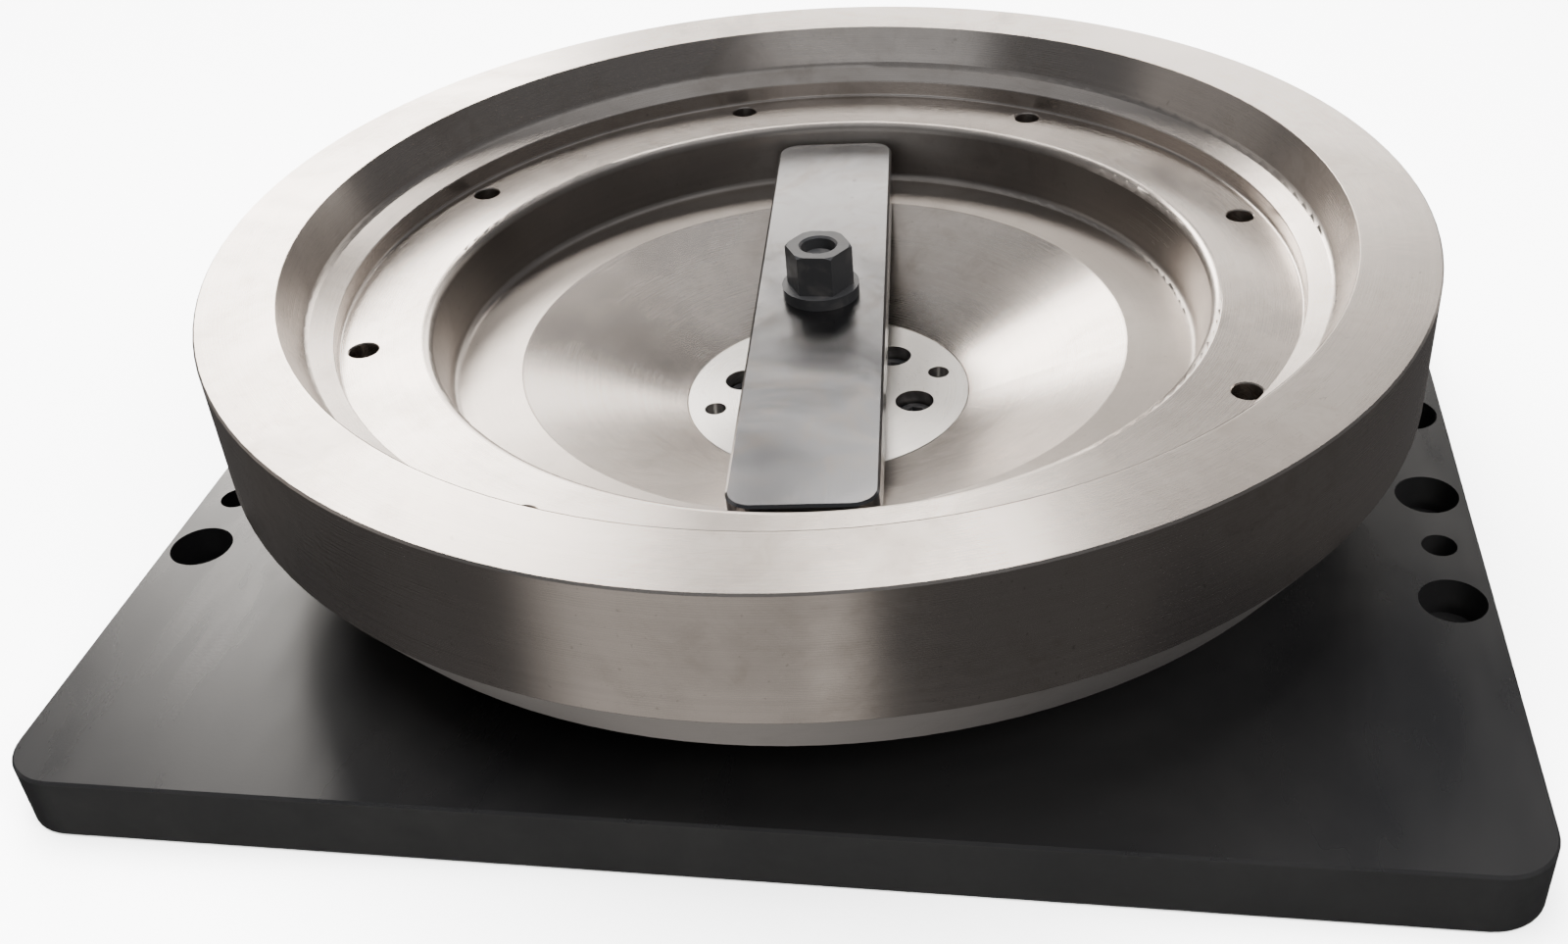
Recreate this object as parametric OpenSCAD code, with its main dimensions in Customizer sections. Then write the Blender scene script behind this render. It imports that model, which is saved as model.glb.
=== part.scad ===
// Rotary table: a dished turned platter on a ball slewing bearing, carried by a bolted base plate,
// with a clamp strap across the recess held down by a collar nut on a central stud.
// Millimetres, +Z up. Origin on the turning axis at the underside of the base plate.

/* [Base plate] */
// Base plate width along X
plate_w = 546; // [400:1:700]
// Base plate depth along Y
plate_d = 480; // [400:1:700]
// Base plate thickness
plate_t = 27; // [20:0.5:40]
// Base plate corner radius
plate_corner_r = 22; // [5:1:40]
// Distance of the fixing hole rows from the axis
fixing_x = 257; // [230:0.5:262]
// Inner fixing holes, distance from the X axis
fixing_y_inner = 31.2; // [28:0.1:45]
// Outer fixing holes, distance from the X axis
fixing_y_outer = 101.1; // [90:0.1:150]
// Dowel bores, distance from the X axis
dowel_bore_y = 66.1; // [50:0.1:80]
// Fixing hole clearance radius
fixing_hole_r = 8.75; // [6:0.05:10]
// Fixing hole counterbore radius
fixing_cbore_r = 13; // [12:0.5:14]
// Fixing hole counterbore depth
fixing_cbore_depth = 16.5; // [8:0.5:18]
// Dowel bore radius
dowel_bore_r = 7; // [4:0.5:8]

/* [Bearing] */
// Ball pitch circle radius
ball_circle_r = 104; // [104:0.1:104.5]
// Number of balls
ball_count = 30; // [20:1:34]
// Ball radius
ball_r = 6; // [5:0.1:6]
// Height of the ball centres
ball_z = 38; // [37:0.1:39]
// Outer ring outside radius
outer_ring_r = 134; // [130:1:138]
// Outer ring fixing screws
outer_screw_count = 12; // [6:1:12]
// Inner ring fixing screws
inner_screw_count = 8; // [6:1:12]

/* [Platter] */
// Platter outside radius
platter_r = 250; // [235:1:300]
// Height of the rim face
rim_z = 137; // [130:0.5:160]
// Inside radius of the rim face
rim_inner_r = 218.8; // [215:0.1:225]
// Lower end of the upright outside wall
skirt_z = 85.3; // [70:0.1:100]
// Radius at the platter's lower edge
lower_edge_r = 231.8; // [200:0.1:248]
// Height of the platter's underside
underside_z = 57.9; // [54:0.1:62]
// Height of the ring face that carries the tapped holes
ring_z = 106; // [95:0.5:112]
// Radius of the strap seat wall at the ring face
recess_top_r = 164.8; // [160:0.1:172]
// Radius of the strap seat wall at the seat
recess_r = 160; // [158:0.1:164]
// Height of the strap seat
seat_z = 79; // [72:0.5:84]
// Inside radius of the strap seat
seat_inner_r = 131; // [110:1:145]
// Tapped hole circle radius
tapped_circle_r = 191.5; // [175:0.5:195]
// Number of tapped holes
tapped_count = 8; // [4:1:12]
// Tapped hole radius
tapped_r = 6; // [4:0.5:8]
// Tapped hole depth
tapped_depth = 32; // [20:1:40]
// Angle of the first tapped hole
table_angle = 20.5; // [0:0.5:44]

/* [Hub] */
// Hub disc radius
hub_r = 63; // [58:0.5:66]
// Height of the hub disc's top face
hub_z = 50.4; // [48:0.1:54]
// Hub screw circle radius
hub_screw_circle_r = 40; // [36:0.5:42]
// Number of hub screws
hub_screw_count = 6; // [3:1:6]
// Hub dowel circle radius
hub_dowel_circle_r = 51; // [50:0.5:53]
// Hub dowel radius
hub_dowel_r = 4.75; // [3:0.25:5]

/* [Clamp strap] */
// Strap length
strap_l = 310; // [280:1:312]
// Strap width
strap_w = 56; // [40:1:70]
// Strap thickness
strap_t = 21; // [12:0.5:28]
// Strap corner radius
strap_corner_r = 10; // [4:0.5:20]
// Angle of the strap from the Y axis
strap_angle = 5.83; // [0:0.01:90]

/* [Collar nut and stud] */
// Nut width across flats
nut_af = 25; // [22:0.5:30]
// Nut height with its collar
nut_h = 23; // [16:0.5:26]
// Nut collar radius
nut_collar_r = 16.5; // [15:0.5:20]
// Nut collar height
nut_collar_h = 5; // [3:0.5:7]
// Stud pitch radius
stud_r = 7.32; // [6:0.01:7.34]

/* [Hidden] */
$fn = 96;
cut = 1;
slack = 0.02;
thread_gap = 0.05;
head_bevel_share = 0.08;
edge = 1;

plate_opening_r = 98;
plate_x = plate_w / 2;
plate_y = plate_d / 2;

cover_r = 108;
cover_z = 0.5;
cover_t = 5;
cover_recess_h = cover_z + cover_t;
cover_screw_circle_r = 103;
cover_screw_count = 6;
cover_screw_r = 2.5;
cover_screw_head_r = 5;
cover_screw_head_h = 2.8;
cover_screw_l = 15;
cover_gap = 0.2;
cover_screw_gap = 0.25;
cover_sink_gap = 0.1;
cover_key_r = 1.7;
cover_key_depth = 1.8;

ring_screw_r = 4;
ring_screw_head_r = 6.5;
ring_screw_head_h = 8;
ring_screw_key = 6;
ring_screw_cbore_r = 6.75;
ring_screw_sink = 0.5;
ring_screw_clearance = 0.5;
ring_screw_clear_r = ring_screw_r + ring_screw_clearance;

groove_r = ball_r + thread_gap;
race_gap = 1.2;
outer_ring_z = 49;
outer_bore_r = ball_circle_r + race_gap;
outer_screw_circle_r = 122;
outer_screw_seat_z = outer_ring_z - ring_screw_sink - ring_screw_head_h;
outer_screw_end_z = 15;
ring_dowel_r = 4;
ring_dowel_low_z = 14;
ring_dowel_high_z = 44;
ring_dowel_angle = 15;

seal_inner_r = 110;
seal_outer_r = 114;
seal_low_z = 46.5;
seal_lip_z = 50.3;
seal_body_z = outer_ring_z;
seal_lip_r = 111.2;

plug_angle = 75;
plug_r = 6.1;
plug_end_r = 133;
plug_pin_r = 2;
plug_pin_circle_r = 126;
plug_pin_low_z = 30.5;
plug_pin_high_z = 48.5;

nipple_angle = 315;
nipple_thread_r = 3;
nipple_thread_in_r = 126.5;
nipple_hex_r = 5.2;
nipple_hex_h = 4.5;
nipple_neck_r = 2;
nipple_neck_h = 3;
nipple_head_r = 3.2;
nipple_hole_r = 1;
grease_way_r = 1.5;

inner_ring_low_z = 27.8;
inner_ring_high_z = 46;
inner_ring_r = ball_circle_r - race_gap;
inner_ring_bore_r = 80;
inner_screw_circle_r = 90;
inner_screw_seat_z = 36.4;
inner_screw_end_z = 57;
inner_screw_hole_z = 59;

cage_in_r = 103.2;
cage_out_r = 104.8;
cage_low_z = 29.5;
cage_high_z = 46.5;
pocket_gap = 0.2;
pocket_r = ball_r + pocket_gap;

boss_r = 140;
boss_z = 50.5;
fit_gap = 0.03;
spigot_r = inner_ring_bore_r - fit_gap;
spigot_z = 21.4;
web_z = 31.4;
web_bore_r = 30;
rim_edge = 0.8;
rim_foot_r = 212;
rim_foot_z = 118.8;
rim_foot_fillet = 4;
ledge_r = 201.5;
ledge_z = 114.3;
ledge_edge = 0.8;
ring_foot_fillet = 1.5;
recess_edge = 4.5;
recess_foot_fillet = 3.5;
well_edge = 1;
tapped_chamfer = 0.5;

hub_gap = 0.05;
hub_pocket_r = hub_r + hub_gap;
hub_edge = 0.6;
hub_bore_r = 8.5;
hub_screw_r = 5;
hub_screw_clear_r = 5.5;
hub_screw_head_r = 8;
hub_screw_head_h = 10;
hub_screw_key = 8;
hub_screw_cbore_r = 8.5;
hub_screw_seat_z = 34.4;
hub_screw_end_z = 10.9;
hub_screw_offset = table_angle - 180 / hub_screw_count;
hub_dowel_low_z = 14.5;
hub_dowel_high_z = 44;

spindle_low_z = 9.4;
spindle_r = 60;
spindle_spigot_r = web_bore_r - fit_gap;
spindle_spigot_z = 31.2;
spindle_edge = 1.5;

stud_bore_r = stud_r + thread_gap;
stud_low_z = 12;
stud_high_z = 118;
stud_seat_z = 11.4;

strap_top_z = seat_z + strap_t;
strap_bore_r = 8.75;
strap_bore_chamfer = 1;
nut_corner_r = nut_af / sqrt(3);
nut_low_z = strap_top_z + slack;
nut_top_z = strap_top_z + nut_h;
nut_crown = 1.2;
nut_crown_drop = 1.7;
nut_mouth = 0.9;

function unit(v) = v / norm(v);
function corner_half(p, a, b) = acos(unit(a - p) * unit(b - p)) / 2;
function corner_centre(p, a, b, r) =
    p + unit(unit(a - p) + unit(b - p)) * r / sin(corner_half(p, a, b));
function corner_run(p, a, b, r) = r / tan(corner_half(p, a, b));

// The sliver between a profile corner and the arc of radius r that is tangent to both its sides.
module corner_sliver(p, a, b, r) {
    centre = corner_centre(p, a, b, r);
    run = corner_run(p, a, b, r);
    difference() {
        polygon([p, p + unit(a - p) * run, centre, p + unit(b - p) * run]);
        translate(centre) circle(r);
    }
}

// A plain round hole or bar between two heights.
module rod(r, low_z, high_z) {
    translate([0, 0, low_z]) cylinder(r = r, h = high_z - low_z);
}

// A round bar lying along the radius at a given angle, between two radii.
module radial_rod(r, in_r, out_r, angle, z) {
    rotate([0, 0, angle])
        translate([in_r, 0, z])
            rotate([0, 90, 0])
                cylinder(r = r, h = out_r - in_r);
}

// Repeats its child round a circle of the given radius.
module round_circle(count, radius, offset_angle) {
    for (i = [0 : count - 1])
        rotate([0, 0, offset_angle + i * 360 / count])
            translate([radius, 0, 0])
                children();
}

// Side view of a slab with broken edges.
module slab_profile(half, low_z, high_z, bevel) {
    polygon([
        [-half, low_z + bevel], [-half + bevel, low_z],
        [half - bevel, low_z], [half, low_z + bevel],
        [half, high_z - bevel], [half - bevel, high_z],
        [-half + bevel, high_z], [-half, high_z - bevel]
    ]);
}

// What a slab loses at a rounded corner, drawn for the corner towards (side_x, side_y).
module slab_corner(side_x, side_y, low_z, high_z, corner_r, bevel) {
    reach = corner_r + cut;
    difference() {
        translate([side_x > 0 ? 0 : -reach, side_y > 0 ? 0 : -reach, low_z - cut])
            cube([reach, reach, high_z - low_z + 2 * cut]);
        rotate_extrude()
            polygon([
                [0, low_z], [corner_r - bevel, low_z], [corner_r, low_z + bevel],
                [corner_r, high_z - bevel], [corner_r - bevel, high_z], [0, high_z]
            ]);
    }
}

// Rectangular slab with rounded corners and broken edges.
module slab(half_x, half_y, low_z, high_z, corner_r, bevel) {
    difference() {
        intersection() {
            translate([0, half_y, 0])
                rotate([90, 0, 0])
                    linear_extrude(2 * half_y)
                        slab_profile(half_x, low_z, high_z, bevel);
            translate([-half_x, 0, 0])
                rotate([90, 0, 90])
                    linear_extrude(2 * half_x)
                        slab_profile(half_y, low_z, high_z, bevel);
        }
        for (side_x = [-1, 1])
            for (side_y = [-1, 1])
                translate([side_x * (half_x - corner_r), side_y * (half_y - corner_r), 0])
                    slab_corner(side_x, side_y, low_z, high_z, corner_r, bevel);
    }
}

// Socket-head screw, head up, with the underside of its head at z = 0.
module cap_screw(head_r, head_h, shank_r, shank_l, key) {
    bevel = head_r * head_bevel_share;
    difference() {
        rotate_extrude()
            polygon([
                [0, -shank_l], [shank_r - bevel, -shank_l], [shank_r, -shank_l + bevel],
                [shank_r, 0], [head_r, 0], [head_r, head_h - bevel],
                [head_r - bevel, head_h], [0, head_h]
            ]);
        translate([0, 0, head_h / 2])
            cylinder(r = key / sqrt(3), h = head_h / 2 + cut, $fn = 6);
    }
}

// The path swept by the balls, used to cut the raceways.
module raceway() {
    rotate_extrude()
        translate([ball_circle_r, ball_z])
            circle(groove_r);
}

// One fixing hole of the base plate, counterbored from above.
module fixing_hole() {
    rod(fixing_hole_r, -cut, plate_t + cut);
    rod(fixing_cbore_r, plate_t - fixing_cbore_depth, plate_t + cut);
}

// Thick rectangular plate that carries the bearing and bolts down to a bed.
module base_plate() {
    color([0.08, 0.08, 0.09])
        difference() {
            slab(plate_x, plate_y, 0, plate_t, plate_corner_r, edge);
            rod(plate_opening_r, -cut, plate_t + cut);
            rod(cover_r + cover_gap, -cut, cover_recess_h);
            for (side_x = [-1, 1])
                for (side_y = [-1, 1]) {
                    translate([side_x * fixing_x, side_y * fixing_y_inner, 0]) fixing_hole();
                    translate([side_x * fixing_x, side_y * fixing_y_outer, 0]) fixing_hole();
                    translate([side_x * fixing_x, side_y * dowel_bore_y, 0])
                        rod(dowel_bore_r, -cut, plate_t + cut);
                }
            round_circle(outer_screw_count, outer_screw_circle_r, 0)
                rod(ring_screw_r + thread_gap, outer_screw_end_z - cut, plate_t + cut);
            round_circle(2, outer_screw_circle_r, ring_dowel_angle)
                rod(ring_dowel_r + slack, ring_dowel_low_z - cut, plate_t + cut);
            round_circle(cover_screw_count, cover_screw_circle_r, 0)
                rod(cover_screw_r + thread_gap, 0, cover_z + cover_screw_l + cut);
        }
}

// Thin disc that closes the opening in the plate's underside.
module base_cover() {
    color([0.6, 0.6, 0.62])
        difference() {
            rod(cover_r, cover_z, cover_z + cover_t);
            round_circle(cover_screw_count, cover_screw_circle_r, 0) {
                rod(cover_screw_r + cover_screw_gap, cover_z - cut, cover_z + cover_t + cut);
                translate([0, 0, cover_z])
                    cylinder(r1 = cover_screw_head_r + cover_sink_gap, r2 = cover_screw_r + cover_screw_gap,
                             h = cover_screw_head_h);
                rod(cover_screw_head_r + cover_sink_gap, cover_z - cut, cover_z + slack);
            }
        }
}

// Countersunk screws of the base cover.
module cover_screws() {
    color([0.2, 0.2, 0.22])
        round_circle(cover_screw_count, cover_screw_circle_r, 0)
            translate([0, 0, cover_z])
                difference() {
                    rotate_extrude()
                        polygon([
                            [0, slack], [cover_screw_head_r, slack],
                            [cover_screw_r, cover_screw_head_h],
                            [cover_screw_r, cover_screw_l], [0, cover_screw_l]
                        ]);
                    translate([0, 0, -cut])
                        cylinder(r = cover_key_r, h = cut + cover_key_depth, $fn = 6);
                }
}

// Fixed ring of the slewing bearing.
module bearing_outer_ring() {
    color([0.62, 0.63, 0.65])
        difference() {
            rotate_extrude()
                polygon([
                    [outer_bore_r, plate_t], [outer_ring_r, plate_t],
                    [outer_ring_r, outer_ring_z - edge], [outer_ring_r - edge, outer_ring_z],
                    [seal_outer_r, outer_ring_z], [seal_outer_r, seal_low_z],
                    [seal_inner_r, seal_low_z], [seal_inner_r, outer_ring_z],
                    [outer_bore_r, outer_ring_z]
                ]);
            raceway();
            round_circle(outer_screw_count, outer_screw_circle_r, 0) {
                rod(ring_screw_clear_r, plate_t - cut, outer_ring_z + cut);
                rod(ring_screw_cbore_r, outer_screw_seat_z, outer_ring_z + cut);
            }
            round_circle(2, outer_screw_circle_r, ring_dowel_angle)
                rod(ring_dowel_r + slack, plate_t - cut, outer_ring_z + cut);
            radial_rod(plug_r + slack, outer_bore_r - cut, outer_ring_r + cut, plug_angle, ball_z);
            rotate([0, 0, plug_angle])
                translate([plug_pin_circle_r, 0, 0])
                    rod(plug_pin_r + slack, plug_pin_low_z, outer_ring_z + cut);
            radial_rod(grease_way_r, outer_bore_r - cut, outer_ring_r, nipple_angle, ball_z);
            radial_rod(nipple_thread_r + thread_gap, nipple_thread_in_r - cut,
                       outer_ring_r + cut, nipple_angle, ball_z);
        }
}

// Screws that hold the outer ring to the base plate.
module outer_ring_screws() {
    color([0.15, 0.15, 0.16])
        round_circle(outer_screw_count, outer_screw_circle_r, 0)
            translate([0, 0, outer_screw_seat_z])
                cap_screw(ring_screw_head_r, ring_screw_head_h, ring_screw_r,
                          outer_screw_seat_z - outer_screw_end_z, ring_screw_key);
}

// Dowels that locate the outer ring on the base plate.
module ring_dowels() {
    color([0.7, 0.7, 0.72])
        round_circle(2, outer_screw_circle_r, ring_dowel_angle)
            rod(ring_dowel_r, ring_dowel_low_z, ring_dowel_high_z);
}

// Lip seal between the outer ring and the platter.
module dust_seal() {
    color([0.05, 0.05, 0.05])
        rotate_extrude()
            polygon([
                [seal_inner_r + slack, seal_low_z], [seal_outer_r - slack, seal_low_z],
                [seal_outer_r - slack, seal_body_z], [seal_lip_r + edge, seal_body_z],
                [seal_inner_r + edge, seal_lip_z], [seal_inner_r + slack, seal_lip_z],
                [seal_inner_r + slack, seal_body_z]
            ]);
}

// Plug that closes the ball loading hole in the outer ring.
module fill_plug() {
    color([0.5, 0.5, 0.52])
        difference() {
            radial_rod(plug_r, outer_bore_r + slack, plug_end_r, plug_angle, ball_z);
            raceway();
            rotate([0, 0, plug_angle])
                translate([plug_pin_circle_r, 0, 0])
                    rod(plug_pin_r + slack, plug_pin_low_z, outer_ring_z + cut);
        }
}

// Pin that keeps the plug in place.
module plug_pin() {
    color([0.7, 0.7, 0.72])
        rotate([0, 0, plug_angle])
            translate([plug_pin_circle_r, 0, 0])
                rod(plug_pin_r, plug_pin_low_z + slack, plug_pin_high_z);
}

// Grease nipple in the side of the outer ring.
module grease_nipple() {
    hex_z = outer_ring_r + slack;
    neck_z = hex_z + nipple_hex_h;
    head_z = neck_z + nipple_neck_h;
    color([0.72, 0.58, 0.28])
        difference() {
            union() {
                radial_rod(nipple_thread_r, nipple_thread_in_r, hex_z, nipple_angle, ball_z);
                rotate([0, 0, nipple_angle])
                    translate([hex_z, 0, ball_z])
                        rotate([0, 90, 0])
                            cylinder(r = nipple_hex_r, h = nipple_hex_h, $fn = 6);
                radial_rod(nipple_neck_r, neck_z, head_z, nipple_angle, ball_z);
                rotate([0, 0, nipple_angle])
                    translate([head_z + edge, 0, ball_z])
                        sphere(nipple_head_r);
            }
            radial_rod(nipple_hole_r, nipple_thread_in_r - cut, head_z + 2 * nipple_head_r,
                       nipple_angle, ball_z);
        }
}

// Balls of the slewing bearing.
module bearing_balls() {
    color([0.8, 0.8, 0.82])
        round_circle(ball_count, ball_circle_r, 0)
            translate([0, 0, ball_z])
                sphere(ball_r);
}

// Ring that spaces the balls.
module bearing_cage() {
    color([0.75, 0.6, 0.3])
        difference() {
            rod(cage_out_r, cage_low_z, cage_high_z);
            rod(cage_in_r, cage_low_z - cut, cage_high_z + cut);
            for (i = [0 : ball_count - 1])
                radial_rod(pocket_r, cage_in_r - 2 * cut, cage_out_r + 2 * cut,
                           i * 360 / ball_count, ball_z);
        }
}

// Turning ring of the slewing bearing.
module bearing_inner_ring() {
    color([0.62, 0.63, 0.65])
        difference() {
            rotate_extrude()
                polygon([
                    [inner_ring_bore_r, inner_ring_low_z],
                    [inner_ring_r - edge, inner_ring_low_z],
                    [inner_ring_r, inner_ring_low_z + edge],
                    [inner_ring_r, inner_ring_high_z],
                    [inner_ring_bore_r, inner_ring_high_z]
                ]);
            raceway();
            round_circle(inner_screw_count, inner_screw_circle_r, 0) {
                rod(ring_screw_clear_r, inner_ring_low_z - cut, inner_ring_high_z + cut);
                rod(ring_screw_cbore_r, inner_ring_low_z - cut, inner_screw_seat_z);
            }
        }
}

// Screws that hold the platter down on the inner ring, driven from below.
module inner_ring_screws() {
    color([0.15, 0.15, 0.16])
        round_circle(inner_screw_count, inner_screw_circle_r, 0)
            translate([0, 0, inner_screw_seat_z])
                rotate([180, 0, 0])
                    cap_screw(ring_screw_head_r, ring_screw_head_h, ring_screw_r,
                              inner_screw_end_z - inner_screw_seat_z, ring_screw_key);
}

// Half section of the raised rim, with the blends at its corners.
module rim_profile() {
    rim_in = [rim_inner_r, rim_z];
    rim_foot = [rim_foot_r, rim_foot_z];
    ledge = [ledge_r, ledge_z];
    ring_out = [ledge_r, ring_z];
    difference() {
        union() {
            polygon([
                [ledge_r, underside_z], [lower_edge_r, underside_z], [platter_r, skirt_z],
                [platter_r, rim_z - rim_edge], [platter_r - rim_edge, rim_z],
                rim_in, rim_foot, ledge
            ]);
            corner_sliver(rim_foot, rim_in, ledge, rim_foot_fillet);
        }
        corner_sliver(rim_in, [platter_r, rim_z], rim_foot, rim_edge);
        corner_sliver(ledge, rim_foot, ring_out, ledge_edge);
    }
}

// Half section of the ring that carries the tapped holes.
module ring_profile() {
    ring_out = [ledge_r, ring_z];
    ring_in = [recess_top_r, ring_z];
    seat_out = [recess_r, seat_z];
    difference() {
        union() {
            polygon([
                [recess_r, underside_z], [ledge_r, underside_z], ring_out, ring_in, seat_out
            ]);
            corner_sliver(ring_out, [ledge_r, ledge_z], ring_in, ring_foot_fillet);
        }
        corner_sliver(ring_in, ring_out, seat_out, recess_edge);
    }
}

// Half section of the floor: strap seat, conical well, boss and spigot.
module web_profile() {
    ring_in = [recess_top_r, ring_z];
    seat_out = [recess_r, seat_z];
    seat_in = [seat_inner_r, seat_z];
    well_low = [hub_pocket_r, hub_z];
    difference() {
        union() {
            polygon([
                [web_bore_r, spigot_z], [spigot_r - edge, spigot_z], [spigot_r, spigot_z + edge],
                [spigot_r, inner_ring_high_z], [inner_ring_r, inner_ring_high_z],
                [inner_ring_r, boss_z], [boss_r, boss_z], [boss_r, underside_z],
                [recess_r, underside_z], seat_out, seat_in, well_low,
                [hub_pocket_r, web_z], [web_bore_r, web_z]
            ]);
            corner_sliver(seat_out, ring_in, seat_in, recess_foot_fillet);
        }
        corner_sliver(seat_in, seat_out, well_low, well_edge);
    }
}

// Heavy raised rim of the platter, outside the ring of tapped holes.
module platter_rim() {
    color([0.72, 0.71, 0.68])
        rotate_extrude() rim_profile();
}

// Thick middle ring of the platter, with the tapped holes in its face.
module platter_ring() {
    color([0.70, 0.69, 0.66])
        difference() {
            rotate_extrude() ring_profile();
            round_circle(tapped_count, tapped_circle_r, table_angle) {
                rod(tapped_r, ring_z - tapped_depth, ring_z + cut);
                translate([0, 0, ring_z - tapped_chamfer])
                    cylinder(r1 = tapped_r, r2 = tapped_r + tapped_chamfer + cut,
                             h = tapped_chamfer + cut);
            }
        }
}

// Floor of the platter: strap seat, conical well, and the spigot that centres it in the bearing.
module platter_web() {
    color([0.74, 0.73, 0.70])
        difference() {
            rotate_extrude() web_profile();
            round_circle(hub_screw_count, hub_screw_circle_r, hub_screw_offset)
                rod(hub_screw_clear_r, spigot_z - cut, web_z + cut);
            round_circle(2, hub_dowel_circle_r, table_angle)
                rod(hub_dowel_r + slack, spigot_z - cut, web_z + cut);
            round_circle(inner_screw_count, inner_screw_circle_r, 0)
                rod(ring_screw_r + thread_gap, inner_ring_high_z - cut, inner_screw_hole_z);
        }
}

// Flat disc let into the middle of the platter.
module hub_disc() {
    color([0.85, 0.85, 0.84])
        difference() {
            rotate_extrude()
                polygon([
                    [hub_bore_r, web_z], [hub_r, web_z], [hub_r, hub_z - hub_edge],
                    [hub_r - hub_edge, hub_z], [hub_bore_r, hub_z]
                ]);
            round_circle(hub_screw_count, hub_screw_circle_r, hub_screw_offset) {
                rod(hub_screw_clear_r, web_z - cut, hub_z + cut);
                rod(hub_screw_cbore_r, hub_screw_seat_z, hub_z + cut);
            }
            round_circle(2, hub_dowel_circle_r, table_angle)
                rod(hub_dowel_r + slack, web_z - cut, hub_z + cut);
        }
}

// Screws that pull the hub disc and the spindle together through the platter.
module hub_screws() {
    color([0.12, 0.12, 0.13])
        round_circle(hub_screw_count, hub_screw_circle_r, hub_screw_offset)
            translate([0, 0, hub_screw_seat_z])
                cap_screw(hub_screw_head_r, hub_screw_head_h, hub_screw_r,
                          hub_screw_seat_z - hub_screw_end_z, hub_screw_key);
}

// Dowels that key the hub disc, the platter and the spindle to each other.
module hub_dowels() {
    color([0.7, 0.7, 0.72])
        round_circle(2, hub_dowel_circle_r, table_angle)
            rod(hub_dowel_r, hub_dowel_low_z, hub_dowel_high_z);
}

// Flanged nut plate under the platter that centres it and carries the stud.
module spindle() {
    color([0.6, 0.6, 0.62])
        difference() {
            rotate_extrude()
                polygon([
                    [0, spindle_low_z], [spindle_r - spindle_edge, spindle_low_z],
                    [spindle_r, spindle_low_z + spindle_edge], [spindle_r, spigot_z],
                    [spindle_spigot_r, spigot_z], [spindle_spigot_r, spindle_spigot_z],
                    [0, spindle_spigot_z]
                ]);
            rod(stud_bore_r, stud_seat_z, spindle_spigot_z + cut);
            round_circle(hub_screw_count, hub_screw_circle_r, hub_screw_offset)
                rod(hub_screw_r + thread_gap, spindle_low_z - cut, spigot_z + cut);
            round_circle(2, hub_dowel_circle_r, table_angle)
                rod(hub_dowel_r + slack, hub_dowel_low_z - slack, spigot_z + cut);
        }
}

// Central stud, screwed into the spindle and standing up through the strap.
module stud() {
    color([0.2, 0.2, 0.22])
        rotate_extrude()
            polygon([
                [0, stud_low_z], [stud_r - edge, stud_low_z], [stud_r, stud_low_z + edge],
                [stud_r, stud_high_z - edge], [stud_r - edge, stud_high_z], [0, stud_high_z]
            ]);
}

// Ground bar that lies across the recess and rests on the seat at both ends.
module clamp_strap() {
    color([0.7, 0.71, 0.73])
        rotate([0, 0, strap_angle])
            difference() {
                slab(strap_w / 2, strap_l / 2, seat_z, strap_top_z, strap_corner_r, edge);
                rod(strap_bore_r, seat_z - cut, strap_top_z + cut);
                translate([0, 0, strap_top_z - strap_bore_chamfer])
                    cylinder(r1 = strap_bore_r, r2 = strap_bore_r + strap_bore_chamfer + cut,
                             h = strap_bore_chamfer + cut);
            }
}

// Hexagon nut with a wide collar.
module collar_nut() {
    color([0.05, 0.05, 0.06])
        difference() {
            union() {
                rod(nut_collar_r, nut_low_z, strap_top_z + nut_collar_h);
                intersection() {
                    translate([0, 0, strap_top_z + edge])
                        cylinder(r = nut_corner_r, h = nut_h - edge, $fn = 6);
                    rotate_extrude()
                        polygon([
                            [0, nut_low_z], [nut_corner_r + cut, nut_low_z],
                            [nut_corner_r + cut, nut_top_z - nut_crown_drop],
                            [nut_corner_r - nut_crown, nut_top_z], [0, nut_top_z]
                        ]);
                }
            }
            rod(stud_bore_r + slack, strap_top_z - cut, nut_top_z + cut);
            translate([0, 0, nut_top_z - nut_mouth])
                cylinder(r1 = stud_bore_r + slack, r2 = stud_bore_r + nut_mouth + cut,
                         h = nut_mouth + cut);
        }
}

base_plate();
base_cover();
cover_screws();
bearing_outer_ring();
outer_ring_screws();
ring_dowels();
dust_seal();
fill_plug();
plug_pin();
grease_nipple();
bearing_balls();
bearing_cage();
bearing_inner_ring();
inner_ring_screws();
platter_web();
platter_ring();
platter_rim();
hub_disc();
hub_screws();
hub_dowels();
spindle();
stud();
clamp_strap();
collar_nut();
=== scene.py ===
"""Looks of the rotary table: finishes, turned and ground detail, studio and camera."""

import math

import bmesh
import bpy
from mathutils import Matrix, Vector


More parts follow.
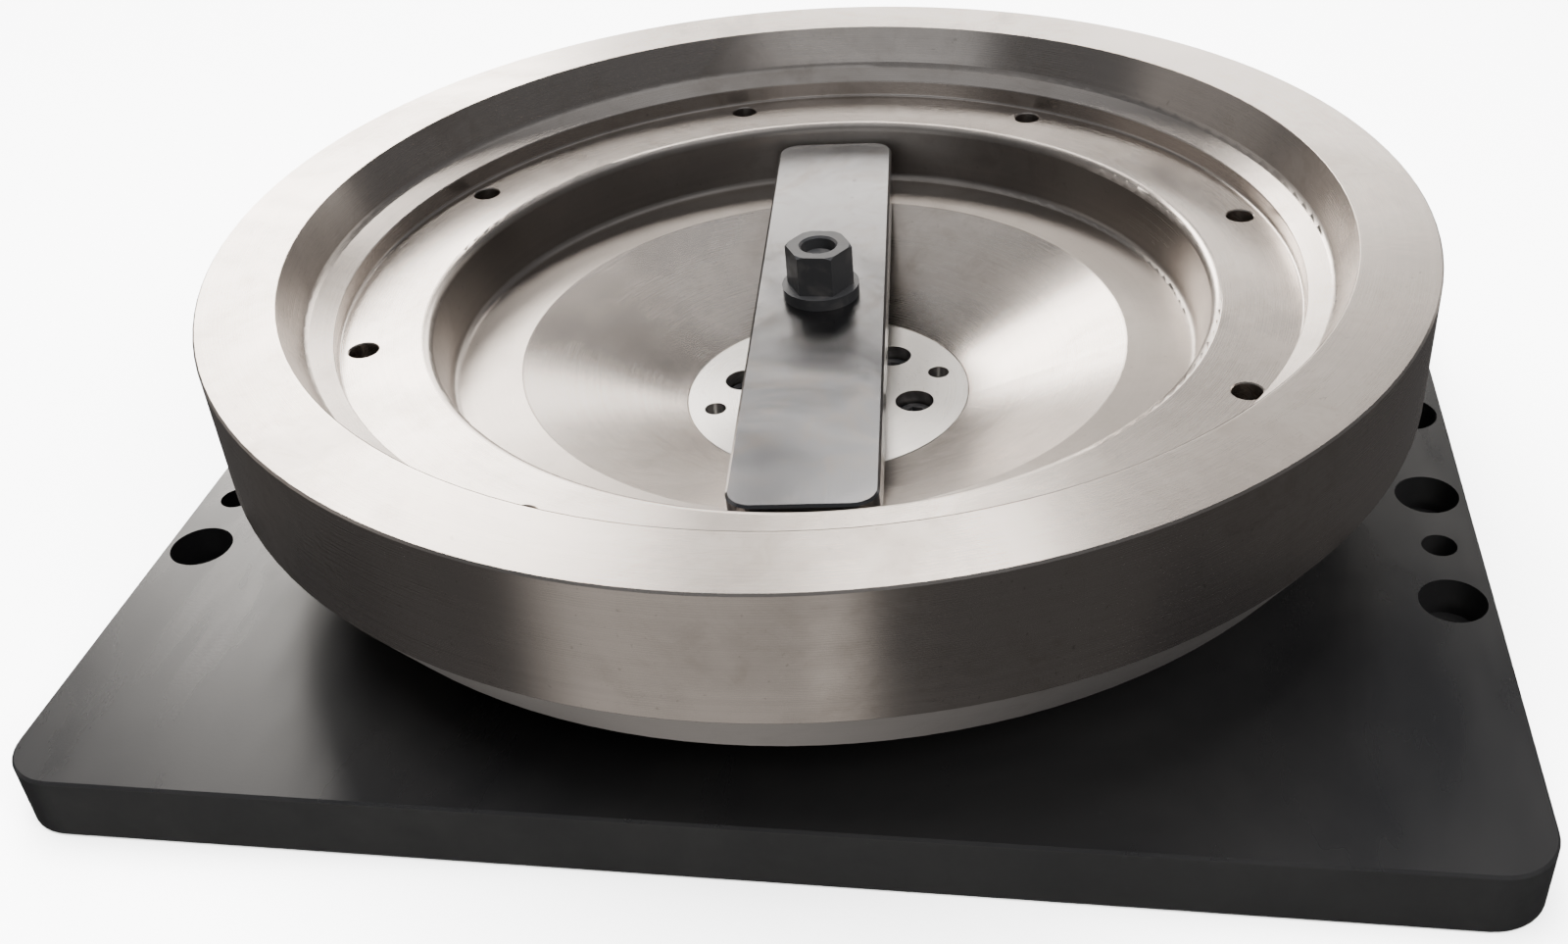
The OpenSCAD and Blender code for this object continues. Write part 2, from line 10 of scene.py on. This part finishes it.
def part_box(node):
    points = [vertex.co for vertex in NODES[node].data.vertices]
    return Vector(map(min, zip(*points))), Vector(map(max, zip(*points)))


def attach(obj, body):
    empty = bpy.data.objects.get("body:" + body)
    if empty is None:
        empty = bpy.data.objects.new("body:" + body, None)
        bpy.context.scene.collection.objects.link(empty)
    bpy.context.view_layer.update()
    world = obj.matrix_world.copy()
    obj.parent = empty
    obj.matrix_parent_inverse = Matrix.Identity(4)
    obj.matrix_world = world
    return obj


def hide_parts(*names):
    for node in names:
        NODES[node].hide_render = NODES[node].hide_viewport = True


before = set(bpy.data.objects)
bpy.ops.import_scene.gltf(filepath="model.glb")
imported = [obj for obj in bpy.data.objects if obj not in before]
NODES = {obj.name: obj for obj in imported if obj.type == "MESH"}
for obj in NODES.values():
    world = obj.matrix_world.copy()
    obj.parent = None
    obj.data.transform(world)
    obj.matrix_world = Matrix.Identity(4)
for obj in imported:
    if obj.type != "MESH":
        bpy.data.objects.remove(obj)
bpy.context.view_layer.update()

# Places on the CAD model, in metres and degrees, that the finishes follow.
SKIRT_Z = 0.0853            # lower end of the platter's upright outside wall
OUTSIDE_R = 0.205           # everything further out than this is the rim
# SEAT_BAND is also where the turned steel gets its painted shade.
SEAT_BAND = (0.131, 0.1648)  # strap seat and recess wall, inner and outer radius
PLATE_FACE_Z = (0.0255, 0.0262)  # just under the base plate's top face
STRAP_ANGLE = 5.83          # the strap's turn from the Y axis
Z_SHARE = 1.37              # height against radius in the run of the tool marks


# ---------------------------------------------------------------- shader helpers

class Graph:
    """A small wrapper that keeps node building short."""

    def __init__(self, name):
        self.mat = bpy.data.materials.new(name)
        self.mat.use_nodes = True
        self.tree = self.mat.node_tree
        self.tree.nodes.clear()
        self.out = self.tree.nodes.new("ShaderNodeOutputMaterial")
        self.bsdf = self.tree.nodes.new("ShaderNodeBsdfPrincipled")
        self.link(self.bsdf.outputs["BSDF"], self.out.inputs["Surface"])
        coord = self.tree.nodes.new("ShaderNodeTexCoord")
        self.coord = coord.outputs["Object"]

    def link(self, a, b):
        self.tree.links.new(a, b)

    def put(self, value, socket):
        """Links an output into a socket, or sets the socket's own value."""
        if isinstance(value, bpy.types.NodeSocket):
            self.link(value, socket)
        else:
            socket.default_value = value

    def shader(self, **values):
        for key, value in values.items():
            self.put(value, self.bsdf.inputs[key])

    def math(self, op, a, b=0.0, clamp=False):
        node = self.tree.nodes.new("ShaderNodeMath")
        node.operation = op
        node.use_clamp = clamp
        self.put(a, node.inputs[0])
        self.put(b, node.inputs[1])
        return node.outputs[0]

    def noise(self, vector, scale, detail=4.0, rough=0.55, distortion=0.0):
        node = self.tree.nodes.new("ShaderNodeTexNoise")
        self.put(vector, node.inputs["Vector"])
        node.inputs["Scale"].default_value = scale
        node.inputs["Detail"].default_value = detail
        node.inputs["Roughness"].default_value = rough
        node.inputs["Distortion"].default_value = distortion
        return node.outputs["Fac"]

    def noise_1d(self, w, scale, detail=3.0, rough=0.6):
        node = self.tree.nodes.new("ShaderNodeTexNoise")
        node.noise_dimensions = "1D"
        self.put(w, node.inputs["W"])
        node.inputs["Scale"].default_value = scale
        node.inputs["Detail"].default_value = detail
        node.inputs["Roughness"].default_value = rough
        return node.outputs["Fac"]

    def stretch(self, vector, sx, sy, sz):
        node = self.tree.nodes.new("ShaderNodeMapping")
        self.put(vector, node.inputs["Vector"])
        node.inputs["Scale"].default_value = (sx, sy, sz)
        return node.outputs["Vector"]

    def turn(self, vector, degrees):
        node = self.tree.nodes.new("ShaderNodeMapping")
        self.put(vector, node.inputs["Vector"])
        node.inputs["Rotation"].default_value = (0, 0, math.radians(degrees))
        return node.outputs["Vector"]

    def ramp(self, fac, low, high, out_low=0.0, out_high=1.0):
        node = self.tree.nodes.new("ShaderNodeMapRange")
        node.clamp = True
        self.put(fac, node.inputs["Value"])
        node.inputs["From Min"].default_value = low
        node.inputs["From Max"].default_value = high
        node.inputs["To Min"].default_value = out_low
        node.inputs["To Max"].default_value = out_high
        return node.outputs["Result"]

    def mix(self, fac, a, b, blend="MIX"):
        node = self.tree.nodes.new("ShaderNodeMix")
        node.data_type = "RGBA"
        node.blend_type = blend
        self.put(fac, node.inputs[0])
        self.put(a if isinstance(a, bpy.types.NodeSocket) else (*a, 1.0), node.inputs[6])
        self.put(b if isinstance(b, bpy.types.NodeSocket) else (*b, 1.0), node.inputs[7])
        return node.outputs[2]

    def bump(self, height, distance, strength=1.0, under=None):
        node = self.tree.nodes.new("ShaderNodeBump")
        node.inputs["Strength"].default_value = strength
        node.inputs["Distance"].default_value = distance
        self.put(height, node.inputs["Height"])
        if under is not None:
            self.link(under, node.inputs["Normal"])
        return node.outputs["Normal"]

    def split(self, vector):
        node = self.tree.nodes.new("ShaderNodeSeparateXYZ")
        self.link(vector, node.inputs[0])
        return node.outputs[0], node.outputs[1], node.outputs[2]

    def radius(self, vector):
        x, y, z = self.split(vector)
        return self.math("SQRT", self.math("ADD", self.math("MULTIPLY", x, x),
                                           self.math("MULTIPLY", y, y))), z

    def groove_tangent(self):
        node = self.tree.nodes.new("ShaderNodeTangent")
        node.direction_type = "RADIAL"
        node.axis = "Z"
        return node.outputs["Tangent"]


# ---------------------------------------------------------------- finishes

def turned(name, tint, rough, groove, aniso=0.75, stain=0.50, stain_tint=(0.30, 0.255, 0.215),
           rough_pale_below=None, rough_shade_band=None):
    """Face- and side-turned steel: rings of fine tool marks, smudges and brown stains. The outside
    wall is rougher and paler below one height, and a band between two radii is rougher, with painted
    shade."""
    g = Graph(name)
    r, z = g.radius(g.coord)
    along = g.math("ADD", r, g.math("MULTIPLY", z, Z_SHARE))
    fine = g.noise_1d(along, 2600.0, 2.0, 0.6)
    broad = g.noise_1d(along, 260.0, 3.0, 0.6)
    cloud = g.noise(g.coord, 9.0, 6.0, 0.62, 0.6)
    patch = g.noise(g.coord, 31.0, 5.0, 0.6, 0.9)
    speck = g.noise(g.coord, 420.0, 2.0, 0.5)
    dirty = g.math("MULTIPLY", g.ramp(cloud, 0.46, 0.74), g.ramp(patch, 0.38, 0.7))
    color = g.mix(g.math("MULTIPLY", dirty, stain), tint, stain_tint)
    blotch = g.ramp(g.noise(g.coord, 58.0, 4.0, 0.7, 1.3), 0.50, 0.66)
    color = g.mix(g.math("MULTIPLY", g.math("MULTIPLY", blotch, g.ramp(cloud, 0.40, 0.62)),
                         stain * 0.55), color, (0.36, 0.30, 0.25))
    color = g.mix(g.math("MULTIPLY", g.ramp(broad, 0.35, 0.75), 0.16), color,
                  tuple(c * 0.62 for c in tint))
    color = g.mix(g.math("MULTIPLY", g.ramp(speck, 0.69, 0.76), 0.30), color, (0.16, 0.14, 0.12))
    roughness = g.math("ADD", rough, g.math("MULTIPLY", g.ramp(cloud, 0.35, 0.7), 0.10))
    roughness = g.math("ADD", roughness, g.math("MULTIPLY", g.ramp(fine, 0.3, 0.7), 0.05))
    if rough_pale_below is not None:
        low = g.math("MULTIPLY", g.ramp(z, rough_pale_below - 0.0006, rough_pale_below, 1.0, 0.0),
                     g.ramp(r, OUTSIDE_R, 0.206))
        roughness = g.math("ADD", roughness, g.math("MULTIPLY", low, 0.38))
        # the outside wall's colour is paler below this height, and its roughness higher
        color = g.mix(g.math("MULTIPLY", low, 0.5), color, (0.80, 0.77, 0.74))
    if rough_shade_band is not None:
        inner, outer = rough_shade_band
        band = g.math("MULTIPLY", g.ramp(r, inner - 0.001, inner),
                      g.ramp(r, outer, outer + 0.001, 1.0, 0.0))
        roughness = g.math("ADD", roughness, g.math("MULTIPLY", band, 0.07))
        # painted shade: the strap seat and recess wall are darkened in colour for the shade in the
        # recess; the added roughness is real
        color = g.mix(g.math("MULTIPLY", band, 0.48), color, (0.27, 0.24, 0.215))
    normal = g.bump(fine, groove)
    normal = g.bump(broad, groove * 2.0, 0.6, normal)
    normal = g.bump(patch, 0.00012, 0.25, normal)
    g.shader(**{"Base Color": color, "Metallic": 1.0, "Roughness": roughness,
                "Anisotropic": aniso, "Anisotropic Rotation": 0.25,
                "Tangent": g.groove_tangent(), "Normal": normal})
    return g.mat


def ground_bar(name, tint, degrees):
    """Surface-ground flat steel: straight fine lines, dark specks and film, and painted shade over
    the near half.
    """
    g = Graph(name)
    local = g.turn(g.coord, -degrees)
    lines = g.noise(g.stretch(local, 1.0, 0.02, 1.0), 1500.0, 3.0, 0.6)
    cloud = g.noise(local, 16.0, 6.0, 0.6, 0.8)
    patch = g.noise(g.stretch(local, 1.0, 0.45, 1.0), 55.0, 5.0, 0.6, 0.5)
    speck = g.noise(local, 330.0, 2.0, 0.5)
    color = g.mix(g.ramp(cloud, 0.42, 0.72, 0.0, 0.55), tint, tuple(c * 0.72 for c in tint))
    color = g.mix(g.math("MULTIPLY", g.ramp(patch, 0.56, 0.75), 0.45), color, (0.23, 0.20, 0.18))
    color = g.mix(g.math("MULTIPLY", g.ramp(speck, 0.68, 0.75), 0.5), color, (0.10, 0.09, 0.09))
    lengthways = g.split(local)[1]
    # painted shade: the near half of the strap is darkened in colour for its darker reflection
    near_half_shade = g.ramp(g.math("ADD", lengthways, g.math("MULTIPLY", cloud, 0.05)), -0.055, 0.01, 0.75, 0.0)
    color = g.mix(near_half_shade, color, (0.165, 0.168, 0.18))
    film = g.ramp(g.noise(local, 38.0, 5.0, 0.65, 1.1), 0.48, 0.68)
    color = g.mix(g.math("MULTIPLY", film, 0.40), color, (0.27, 0.235, 0.205))
    roughness = g.ramp(cloud, 0.3, 0.75, 0.13, 0.27)
    normal = g.bump(lines, 0.00001)
    normal = g.bump(patch, 0.00010, 0.2, normal)
    g.shader(**{"Base Color": color, "Metallic": 1.0, "Roughness": roughness, "Normal": normal})
    return g.mat


def black_plate(name):
    """Black coated plate: low sheen, smears, dust specks, orange peel, and duller side faces."""
    g = Graph(name)
    cloud = g.noise(g.coord, 5.0, 6.0, 0.6, 0.7)
    smear = g.noise(g.stretch(g.coord, 1.0, 0.25, 1.0), 26.0, 5.0, 0.62, 0.4)
    peel = g.noise(g.coord, 900.0, 2.0, 0.5)
    dust = g.noise(g.coord, 520.0, 2.0, 0.5)
    color = g.mix(g.ramp(cloud, 0.35, 0.7), (0.0022, 0.0022, 0.0024), (0.0050, 0.0048, 0.0047))
    color = g.mix(g.math("MULTIPLY", g.ramp(dust, 0.73, 0.80), 0.10), color, (0.06, 0.057, 0.054))
    roughness = g.math("ADD", g.ramp(smear, 0.3, 0.75, 0.20, 0.36),
                       g.math("MULTIPLY", g.ramp(cloud, 0.4, 0.7), 0.06))
    side = g.ramp(g.split(g.coord)[2], *PLATE_FACE_Z, 1.0, 0.0)
    roughness = g.math("ADD", roughness, g.math("MULTIPLY", side, 0.26))
    normal = g.bump(peel, 0.00002, 0.6)
    g.shader(**{"Base Color": color, "Metallic": 0.0, "Roughness": roughness,
                "Specular IOR Level": 0.55, "Normal": normal})
    return g.mat


def black_oxide(name, level=0.016):
    """Matt black oxide on steel, with rubbed patches."""
    g = Graph(name)
    cloud = g.noise(g.coord, 120.0, 5.0, 0.6, 0.4)
    grit = g.noise(g.coord, 2200.0, 2.0, 0.6)
    color = g.mix(g.ramp(cloud, 0.5, 0.78), (level, level, level * 1.05), (0.034, 0.032, 0.031))
    roughness = g.ramp(cloud, 0.3, 0.75, 0.36, 0.56)
    normal = g.bump(grit, 0.00003, 0.6)
    g.shader(**{"Base Color": color, "Metallic": 0.55, "Roughness": roughness, "Normal": normal})
    return g.mat


def plain_metal(name, tint, rough, grain=700.0):
    """Machined metal with a fine grain and uneven sheen."""
    g = Graph(name)
    cloud = g.noise(g.coord, 45.0, 5.0, 0.6, 0.3)
    fine = g.noise(g.coord, grain, 3.0, 0.6)
    color = g.mix(g.ramp(cloud, 0.4, 0.75), tint, tuple(c * 0.72 for c in tint))
    roughness = g.ramp(fine, 0.3, 0.7, rough * 0.8, rough * 1.25)
    g.shader(**{"Base Color": color, "Metallic": 1.0, "Roughness": roughness,
                "Normal": g.bump(fine, 0.00002, 0.5)})
    return g.mat


def rubber(name):
    """Dull black rubber with a faint bloom."""
    g = Graph(name)
    cloud = g.noise(g.coord, 150.0, 4.0, 0.6)
    color = g.mix(g.ramp(cloud, 0.4, 0.75), (0.012, 0.012, 0.012), (0.035, 0.034, 0.033))
    g.shader(**{"Base Color": color, "Roughness": g.ramp(cloud, 0.3, 0.7, 0.6, 0.8),
                "Normal": g.bump(cloud, 0.00005, 0.5)})
    return g.mat


def dress(node, material):
    """Gives a CAD node its finish."""
    mesh = NODES[node].data
    mesh.materials.clear()
    mesh.materials.append(material)


STEEL = (0.64, 0.580, 0.535)
steel = turned("turned_steel", STEEL, 0.20, 0.000004, rough_pale_below=SKIRT_Z,
               rough_shade_band=SEAT_BAND)
hub_steel = turned("hub_steel", (0.68, 0.655, 0.63), 0.24, 0.000003, 0.7, 0.15)
strap_steel = ground_bar("strap_steel", (0.37, 0.365, 0.37), STRAP_ANGLE)
plate_black = black_plate("plate_black")
oxide = black_oxide("black_oxide")
screw_black = black_oxide("screw_black", 0.010)
bearing = turned("bearing_steel", (0.55, 0.55, 0.56), 0.16, 0.000002, 0.5, 0.1)
cover_steel = plain_metal("cover_steel", (0.52, 0.52, 0.52), 0.34)
pin_steel = plain_metal("pin_steel", (0.60, 0.60, 0.61), 0.22)
ball_steel = plain_metal("ball_steel", (0.72, 0.72, 0.73), 0.06)
brass = plain_metal("brass", (0.66, 0.48, 0.20), 0.30)
seal = rubber("seal_rubber")

for node, material in {
    "base_plate": plate_black, "base_cover": cover_steel, "cover_screws": screw_black,
    "bearing_outer_ring": bearing, "outer_ring_screws": screw_black, "ring_dowels": pin_steel,
    "dust_seal": seal, "fill_plug": pin_steel, "plug_pin": pin_steel, "grease_nipple": brass,
    "bearing_balls": ball_steel, "bearing_cage": brass, "bearing_inner_ring": bearing,
    "inner_ring_screws": screw_black, "platter_web": steel, "platter_ring": steel,
    "platter_rim": steel, "hub_disc": hub_steel,
    "hub_screws": screw_black, "hub_dowels": pin_steel, "spindle": bearing, "stud": oxide,
    "clamp_strap": strap_steel, "collar_nut": oxide,
}.items():
    dress(node, material)


# ---------------------------------------------------------------- threaded stud

def threaded_stud(material):
    """The central stud with a cut thread and chamfered ends, in the place of the plain CAD bar."""
    low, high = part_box("stud")
    crest = (high[0] - low[0]) / 2
    pitch, depth, chamfer = 0.002, 0.0009, 0.0012
    around, per_pitch = 72, 10
    z0, z1 = low[2], high[2]
    rows = int(round((z1 - z0) / pitch * per_pitch))
    bm = bmesh.new()
    rings = []
    for row in range(rows + 1):
        z = z0 + (z1 - z0) * row / rows
        end = min(z - z0, z1 - z)
        limit = crest - max(0.0, chamfer - end)
        ring = []
        for step in range(around):
            angle = 2 * math.pi * step / around
            phase = ((z - z0) / pitch - step / around) % 1.0
            tooth = min(1.0, max(0.0, abs(phase - 0.5) * 2.6 - 0.25))
            radius = min(limit, crest - depth * (1.0 - tooth))
            ring.append(bm.verts.new((radius * math.cos(angle), radius * math.sin(angle), z)))
        rings.append(ring)
    for lower, upper in zip(rings, rings[1:]):
        for step in range(around):
            after = (step + 1) % around
            bm.faces.new((lower[step], lower[after], upper[after], upper[step]))
    bm.faces.new(list(reversed(rings[0])))
    bm.faces.new(rings[-1])
    mesh = bpy.data.meshes.new("stud_thread")
    bm.to_mesh(mesh)
    bm.free()
    for poly in mesh.polygons:
        poly.use_smooth = len(poly.vertices) == 4
    mesh.materials.append(material)
    obj = bpy.data.objects.new("stud_thread", mesh)
    bpy.context.scene.collection.objects.link(obj)
    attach(obj, "table")
    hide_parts("stud")


threaded_stud(oxide)


# ---------------------------------------------------------------- stage

def floor():
    """A pale paper floor, left out of what gloss mirrors."""
    mesh = bpy.data.meshes.new("floor")
    reach = 6.0
    corners = [(-reach, -reach, 0), (reach, -reach, 0), (reach, reach, 0), (-reach, reach, 0)]
    mesh.from_pydata(corners, [], [(0, 1, 2, 3)])
    obj = bpy.data.objects.new("floor", mesh)
    bpy.context.scene.collection.objects.link(obj)
    g = Graph("floor_paper")
    soft = g.noise(g.coord, 2.0, 3.0, 0.5)
    g.shader(**{"Base Color": g.mix(soft, (0.86, 0.86, 0.86), (0.90, 0.90, 0.90)),
                "Roughness": 0.9})
    mesh.materials.append(g.mat)
    obj.visible_glossy = False


def softbox(name, centre, size, power):
    """A square area light aimed at the origin, unseen by the camera and by gloss."""
    light = bpy.data.lights.new(name, "AREA")
    light.shape = "RECTANGLE"
    light.size = size
    light.size_y = size
    light.energy = power
    obj = bpy.data.objects.new(name, light)
    obj.location = centre
    aim = -Vector(centre).normalized()
    obj.rotation_euler = aim.to_track_quat("-Z", "Y").to_euler()
    obj.visible_camera = False
    obj.visible_glossy = False
    bpy.context.scene.collection.objects.link(obj)


def lamp_glow(tree, around, up, half_around, half_up, soft, strength, tint):
    """A soft-edged panel of light in the surroundings, as a colour output. Angles are in degrees;
    around runs from +Y towards -X."""
    az, el = math.radians(around), math.radians(up)
    centre = Vector((-math.sin(az) * math.cos(el), math.cos(az) * math.cos(el), math.sin(el)))
    across = Vector((-math.cos(az), -math.sin(az), 0))
    rising = centre.cross(across) * -1
    coord = tree.nodes.new("ShaderNodeTexCoord")
    fades = []
    for axis, half in ((across, half_around), (rising, half_up)):
        dot = tree.nodes.new("ShaderNodeVectorMath")
        dot.operation = "DOT_PRODUCT"
        tree.links.new(coord.outputs["Generated"], dot.inputs[0])
        dot.inputs[1].default_value = axis
        size = tree.nodes.new("ShaderNodeMath")
        size.operation = "ABSOLUTE"
        tree.links.new(dot.outputs["Value"], size.inputs[0])
        fade = tree.nodes.new("ShaderNodeMapRange")
        fade.interpolation_type = "SMOOTHSTEP"
        tree.links.new(size.outputs[0], fade.inputs["Value"])
        fade.inputs["From Min"].default_value = math.sin(math.radians(half))
        fade.inputs["From Max"].default_value = math.sin(math.radians(half + soft))
        fade.inputs["To Min"].default_value = 1.0
        fade.inputs["To Max"].default_value = 0.0
        fades.append(fade.outputs["Result"])
    facing = tree.nodes.new("ShaderNodeVectorMath")
    facing.operation = "DOT_PRODUCT"
    tree.links.new(coord.outputs["Generated"], facing.inputs[0])
    facing.inputs[1].default_value = centre
    ahead = tree.nodes.new("ShaderNodeMath")
    ahead.operation = "GREATER_THAN"
    tree.links.new(facing.outputs["Value"], ahead.inputs[0])
    ahead.inputs[1].default_value = 0.2
    fades.append(ahead.outputs[0])
    product = fades[0]
    for fade in fades[1:]:
        times = tree.nodes.new("ShaderNodeMath")
        times.operation = "MULTIPLY"
        tree.links.new(product, times.inputs[0])
        tree.links.new(fade, times.inputs[1])
        product = times.outputs[0]
    scale = tree.nodes.new("ShaderNodeVectorMath")
    scale.operation = "SCALE"
    scale.inputs[0].default_value = [c * strength for c in tint]
    tree.links.new(product, scale.inputs["Scale"])
    return scale.outputs["Vector"]


def surroundings(glows, below, above):
    """A dim room with soft lamps: what the bright metal mirrors."""
    world = bpy.data.worlds.new("studio")
    bpy.context.scene.world = world
    world.use_nodes = True
    tree = world.node_tree
    back = tree.nodes["Background"]
    coord = tree.nodes.new("ShaderNodeTexCoord")
    split = tree.nodes.new("ShaderNodeSeparateXYZ")
    tree.links.new(coord.outputs["Generated"], split.inputs[0])
    rise = tree.nodes.new("ShaderNodeMapRange")
    rise.interpolation_type = "SMOOTHSTEP"
    tree.links.new(split.outputs["Z"], rise.inputs["Value"])
    rise.inputs["From Min"].default_value = -0.12
    rise.inputs["From Max"].default_value = 0.12
    room = tree.nodes.new("ShaderNodeMix")
    room.data_type = "RGBA"
    tree.links.new(rise.outputs["Result"], room.inputs[0])
    room.inputs[6].default_value = (*below, 1)
    room.inputs[7].default_value = (*above, 1)
    total = room.outputs[2]
    for glow in glows:
        add = tree.nodes.new("ShaderNodeVectorMath")
        add.operation = "ADD"
        tree.links.new(total, add.inputs[0])
        tree.links.new(lamp_glow(tree, *glow), add.inputs[1])
        total = add.outputs["Vector"]
    tree.links.new(total, back.inputs["Color"])
    back.inputs["Strength"].default_value = 1.0


WARM = (1.0, 0.955, 0.90)
COOL = (0.94, 0.97, 1.0)
# around, up, half_around, half_up, soft (all in degrees), strength, tint
GLOWS = [
    (28, 26.5, 7, 10, 3, 13.0, WARM),
    (5, 17.5, 15, 6, 5, 5.0, WARM),
    (-33, 7, 9, 8, 8, 0.7, WARM),
    (-20, 23, 6, 5, 5, 0.5, WARM),
    (6.0, 42.5, 3, 3.5, 3, 14.0, WARM),
    (0, 85, 20, 20, 14, 0.35, COOL),
    (160, -33, 13, 16, 14, 0.50, WARM),
    (189, -34, 2.5, 14, 3, 0.55, WARM),
    (174, 18, 20, 10, 12, 0.50, COOL),
    (85, 22, 15, 12, 10, 0.25, WARM),
]

floor()
surroundings(GLOWS, below=(0.075, 0.073, 0.073), above=(0.13, 0.132, 0.137))

softbox("overhead", (-0.6, 0.4, 2.6), 2.6, 760)
softbox("side_fill", (1.6, -1.4, 2.2), 2.0, 450)


# ---------------------------------------------------------------- camera

CAMERA_PLACE = (0.115304, -0.620333, 0.445567)
CAMERA_RIGHT = (0.990357, 0.129684, -0.048736)
CAMERA_UP = (-0.034854, 0.573702, 0.818322)
CAMERA_AHEAD = (-0.134083, 0.808732, -0.572690)


def camera():
    """The camera, with its sideways shift for the framing."""
    data = bpy.data.cameras.new("camera")
    data.sensor_fit = "HORIZONTAL"
    data.sensor_width = 36.0
    data.lens = 38.21
    data.shift_x = -0.0489
    data.clip_start = 0.02
    data.clip_end = 40.0
    obj = bpy.data.objects.new("camera", data)
    turn = Matrix((CAMERA_RIGHT, CAMERA_UP, -Vector(CAMERA_AHEAD))).transposed()
    obj.matrix_world = Matrix.Translation(CAMERA_PLACE) @ turn.to_4x4()
    bpy.context.scene.collection.objects.link(obj)
    bpy.context.scene.camera = obj


camera()
